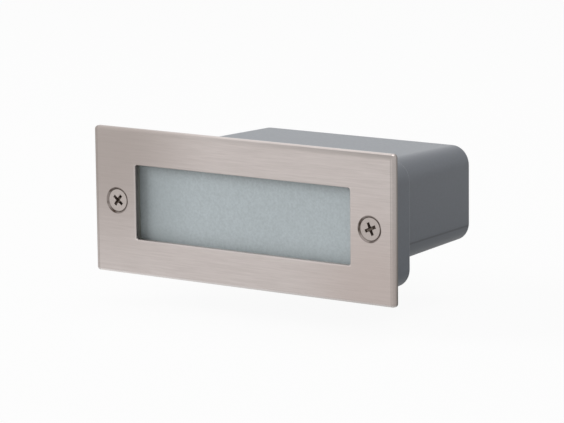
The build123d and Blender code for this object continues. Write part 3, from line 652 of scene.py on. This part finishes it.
turned_stainless, tree, place = open_finish("stainless_turned_screw")
axes = add(tree, "ShaderNodeSeparateXYZ", {"Vector": place}).outputs
reach = from_screw(tree, axes)
swing = add(tree, "ShaderNodeMath", {0: reach, 1: 2 * math.pi / RING_GAP}, operation="MULTIPLY")
rings = add(tree, "ShaderNodeMath", {0: swing.outputs[0]}, operation="SINE")
lathe = add(tree, "ShaderNodeMapRange", {"Value": rings.outputs[0], "From Min": -1.0})
polish = add(tree, "ShaderNodeMix", {
    0: lathe.outputs["Result"], 6: linear("#A69C97"), 7: linear("#D2C9C4")}, data_type="RGBA")
# darker with depth inside the cross, and a dark brown band toward the head's edge
sunk = add(tree, "ShaderNodeMapRange", {
    "Value": axes["Y"], "From Min": screw_low.y + DARK_START, "From Max": screw_low.y + DARK_END})
inside = add(tree, "ShaderNodeMath", {0: reach, 1: ARM_REACH + RECESS_WALL}, operation="LESS_THAN")
above = add(tree, "ShaderNodeMath", {0: axes["Y"], 1: screw_low.y + RECESS_DEPTH}, operation="LESS_THAN")
in_head = add(tree, "ShaderNodeMath", {0: inside.outputs[0], 1: above.outputs[0]}, operation="MULTIPLY")
filled = add(tree, "ShaderNodeMath", {
    0: sunk.outputs["Result"], 1: in_head.outputs[0]}, operation="MULTIPLY")
darkened_cross = add(tree, "ShaderNodeMix", {
    0: filled.outputs[0], 6: polish.outputs[2], 7: linear("#655C55")}, data_type="RGBA")
edge = add(tree, "ShaderNodeMapRange", {
    "Value": reach, "From Min": HEAD_RADIUS - 2 * RIM_DARK_WIDTH, "From Max": HEAD_RADIUS - RIM_DARK_WIDTH})
ringed = add(tree, "ShaderNodeMix", {
    0: edge.outputs["Result"], 6: darkened_cross.outputs[2], 7: linear("#51463F")}, data_type="RGBA")
relief = add(tree, "ShaderNodeBump", {
    "Height": rings.outputs[0], "Strength": RING_BUMP, "Distance": RING_DEPTH})
close_finish(tree, Base_Color=ringed.outputs[2], Metallic=1.0, Roughness=TURNED_ROUGHNESS,
             Normal=relief.outputs["Normal"])
dress(turned_stainless, "cover_screw_left", "cover_screw_right")

# %% The screws take their parts' places
for side, piece in screws.items():
    piece.data.materials.append(turned_stainless)
    piece.data.shade_smooth()
    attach(piece, f"{side}_screw")
    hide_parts(f"cover_screw_{side}")

# %% [markdown]
# ## Filament
# A halogen capsule glows from a coil of tungsten wire bent into a hairpin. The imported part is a
# plain rod, the room that the coil takes up. A bevelled curve could give the wire, but the
# formula is short: the coil is a circle carried along a helix, and the helix winds round the
# hairpin, two straight legs and a half circle at the far end.

# %% Hairpin
COIL_WIRE = 0.11 * MM
low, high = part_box("lamp_filament")
middle = (low + high) / 2
rod_radius = (high.y - low.y) / 2
coil_radius = rod_radius - COIL_WIRE
bend_radius = (high.z - low.z) / 2 - rod_radius
leg = high.x - rod_radius - bend_radius - low.x


def hairpin(distance):
    """Points and outward directions in X and Z at distances along leg, half circle and leg."""
    bend = np.clip(distance - leg, 0, math.pi * bend_radius) / bend_radius
    back = np.clip(distance - leg - math.pi * bend_radius, 0, None)
    out = np.stack([np.sin(bend), 0 * bend, np.cos(bend)], -1)
    along = low.x + np.minimum(distance, leg) - back
    start = np.stack([along, middle.y + 0 * bend, middle.z + 0 * bend], -1)
    return start + bend_radius * out, out


print("hairpin in mm: legs", round(leg / MM, 2), "and a bend of radius", round(bend_radius / MM, 2))

# %% Coil on the hairpin
COIL_GAP = 0.45 * MM
COIL_STEPS = 14
WIRE_SIDES = 6

whole = 2 * leg + math.pi * bend_radius
turns = int(whole / COIL_GAP)
distance = np.linspace(0, whole, turns * COIL_STEPS)
line, out = hairpin(distance)
wind = distance / COIL_GAP * 2 * math.pi
side_way = np.array([0.0, 1.0, 0.0])
helix = line + coil_radius * (np.cos(wind)[:, None] * out + np.sin(wind)[:, None] * side_way)
along = np.gradient(helix, axis=0)
along /= np.linalg.norm(along, axis=1, keepdims=True)
normal = np.cross(along, helix - line)
normal /= np.linalg.norm(normal, axis=1, keepdims=True)
other = np.cross(along, normal)
spin = np.linspace(0, 2 * math.pi, WIRE_SIDES, endpoint=False)[None, :, None]
round_wire = np.cos(spin) * normal[:, None] + np.sin(spin) * other[:, None]
wire_rings = helix[:, None] + COIL_WIRE * round_wire
coil = tube_from_rings("tungsten_coil", wire_rings, helix[0].tolist(), helix[-1].tolist())

# %% Tungsten, and the coil takes its part's place
tungsten = grained("tungsten_drawn_wire", "#5B5B5E", "#77777A",
                   grain_mm=(0.5, 0.5, 0.5), roughness=(0.35, 0.5), depth_mm=0.005, Metallic=1.0)
coil.data.materials.append(tungsten)
coil.data.shade_smooth()
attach(coil, "lamp")
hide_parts("lamp_filament")
dress(tungsten, "lamp_filament")

# %% [markdown]
# ## Floor
# The light is shown in the air, as it hangs in a wall, over a pale floor. The floor could be lit
# until it is white, but that light would bleach the plate too. It glows instead, for rays from
# the camera and for rays off metal or through glass, and keeps a trace of the shadow. Mirror rays
# see a weaker glow, and weaker again right beside the housing, where the floor is shaded.

# %% Floor mesh
FLOOR_DROP = 0.05
FLOOR_REACH = 4.0
FLOOR_CELLS = 8

span = np.linspace(-FLOOR_REACH, FLOOR_REACH, FLOOR_CELLS + 1)
across, away = np.meshgrid(span, span)
points = np.stack([across, away, np.full_like(across, -FLOOR_DROP)], -1).reshape(-1, 3)
grid = np.arange(len(points)).reshape(across.shape)
tiles = np.stack([grid[:-1, :-1], grid[:-1, 1:], grid[1:, 1:], grid[1:, :-1]], -1).reshape(-1, 4)
floor_mesh = bpy.data.meshes.new("studio_floor")
floor_mesh.from_pydata(points.tolist(), [], tiles.tolist())
floor = bpy.data.objects.new("studio_floor", floor_mesh)
bpy.context.scene.collection.objects.link(floor)
floor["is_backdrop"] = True
print("floor stands", FLOOR_DROP, "m below the middle of the plate")

# %% Glowing floor paint
CLOUDS_PER_METRE = 6.0
CLOUD_DETAIL = 2.0
FLOOR_GLOW = 0.94
FLOOR_MIRRORED = 0.6
SHADE_PLACE = (0.10, 0.14, -FLOOR_DROP)
SHADE_INNER = 0.10
SHADE_OUTER = 0.20
SHADE_GLOW = 0.55


def mirror_rays(tree):
    """Light Path's outputs, and a share that is 1 for rays off metal or through glass."""
    rays = add(tree, "ShaderNodeLightPath").outputs
    mirrored = add(tree, "ShaderNodeMath", {
        0: rays["Is Glossy Ray"], 1: rays["Is Transmission Ray"]}, operation="MAXIMUM")
    return rays, mirrored.outputs[0]


floor_paint, tree, place = open_finish("matt_pale_floor_paint")
clouds = add(tree, "ShaderNodeTexNoise", {
    "Vector": place, "Scale": CLOUDS_PER_METRE, "Detail": CLOUD_DETAIL})
pale = add(tree, "ShaderNodeMix", {
    0: clouds.outputs["Fac"], 6: linear("#C8C8C7"), 7: linear("#CECECD")}, data_type="RGBA")
matt = add(tree, "ShaderNodeBsdfDiffuse", {"Color": pale.outputs[2]})
rays, mirrored = mirror_rays(tree)
nearby = add(tree, "ShaderNodeVectorMath", {0: place, 1: SHADE_PLACE}, operation="DISTANCE")
shade = add(tree, "ShaderNodeMapRange", {
    "Value": nearby.outputs["Value"], "From Min": SHADE_INNER, "From Max": SHADE_OUTER,
    "To Min": SHADE_GLOW, "To Max": 1.0})
bright = add(tree, "ShaderNodeMath", {
    0: shade.outputs["Result"], 1: rays["Is Camera Ray"]}, operation="MAXIMUM")
glow = add(tree, "ShaderNodeEmission", {"Color": linear("#FFFFFF"), "Strength": bright.outputs[0]})
in_mirrors = add(tree, "ShaderNodeMath", {0: mirrored, 1: FLOOR_MIRRORED}, operation="MULTIPLY")
to_camera = add(tree, "ShaderNodeMath", {
    0: rays["Is Camera Ray"], 1: FLOOR_GLOW}, operation="MULTIPLY")
share = add(tree, "ShaderNodeMath", {
    0: in_mirrors.outputs[0], 1: to_camera.outputs[0]}, operation="MAXIMUM")
both = add(tree, "ShaderNodeMixShader", {0: share.outputs[0], 1: matt.outputs[0], 2: glow.outputs[0]})
add(tree, "ShaderNodeOutputMaterial", {"Surface": both.outputs[0]})
floor_mesh.materials.append(floor_paint)
print(floor_paint.name, "glows by", FLOOR_GLOW, "to the camera and", FLOOR_MIRRORED, "in mirrors")

# %% [markdown]
# ## White room and lamps
# A product photograph is lit by large soft lamps in a white room. The room is the world: it looks
# white to the camera, to metal and to glass, and gives everything else a plain level of light.
# The key lamp stands at the left and is kept out of mirror rays, as if behind a photographer's
# cloth. The weaker top lamp does show in metal, and draws the bright line on the plate's rim.

# %% White room
ROOM_LIGHT = 0.4

world = bpy.data.worlds.new("white_room")
bpy.context.scene.world = world
world.use_nodes = True
tree = world.node_tree
tree.nodes.clear()
rays, mirrored = mirror_rays(tree)
seen_rays = add(tree, "ShaderNodeMath", {0: rays["Is Camera Ray"], 1: mirrored}, operation="MAXIMUM")
lit = add(tree, "ShaderNodeBackground", {"Color": linear("#FFFFFF"), "Strength": ROOM_LIGHT})
white = add(tree, "ShaderNodeBackground", {"Color": linear("#FFFFFF"), "Strength": 1.0})
room = add(tree, "ShaderNodeMixShader", {0: seen_rays.outputs[0], 1: lit.outputs[0], 2: white.outputs[0]})
add(tree, "ShaderNodeOutputWorld", {"Surface": room.outputs[0]})
print(world.name, "lights with a strength of", ROOM_LIGHT)


# %% Two soft lamps
def soft_lamp(name, place, size, watts, mirrored):
    """A square lamp at a place, turned to the middle of the light, and seen in metal or not."""
    lamp = bpy.data.lights.new(name, "AREA")
    lamp.size = size
    lamp.energy = watts
    holder = bpy.data.objects.new(name, lamp)
    holder.location = place
    holder.visible_glossy = mirrored
    away = holder.location.normalized()
    holder.rotation_euler = away.to_track_quat("Z", "Y").to_euler()
    bpy.context.scene.collection.objects.link(holder)
    print(name, watts, "W at", [round(v, 2) for v in place])


soft_lamp("key_lamp", place=(-1.75, -0.95, 0.85), size=1.4, watts=49.0, mirrored=False)
soft_lamp("top_lamp", place=(0.2, 0.4, 1.6), size=1.2, watts=12.0, mirrored=True)

# %% [markdown]
# ## Camera
# The photograph looks at the plate from the right and slightly from above, with a long lens. A
# camera could be set by eye, but the plate's four corners and its two round screw rings in the
# picture fix its place, turn and lens, and the numbers are kept as they came out.

# %% Camera at the photograph's angle
CAMERA_PLACE = (0.86231, -1.20106, 0.26866)
CAMERA_TURN = (79.7266, 0.6334, 34.8733)
CAMERA_LENS = 206.942
SENSOR_WIDTH = 36.0

camera = bpy.data.cameras.new("product_camera")
camera.lens = CAMERA_LENS
camera.sensor_width = SENSOR_WIDTH
camera.sensor_fit = "HORIZONTAL"
stand = bpy.data.objects.new("product_camera", camera)
stand.location = CAMERA_PLACE
stand.rotation_euler = [math.radians(turn) for turn in CAMERA_TURN]
bpy.context.scene.collection.objects.link(stand)
bpy.context.scene.camera = stand
bpy.context.scene.view_settings.view_transform = "Standard"
print("camera stands", round(stand.location.length, 3), "m from the plate")

# %% [markdown]
# ## Compare the sizes and finish
# Threads, crosses and the coil must not make the light larger than its imported parts. Looking is
# not enough for that, so the box round everything is measured again, and the last line prints
# how much it changed.

# %% Sizes before and after
dressed_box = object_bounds()
growth = max(abs(new[i] - old[i]) for old, new in zip(cad_box, dressed_box) for i in range(3))
print("the box changes by", round(growth / MM, 3), "mm")
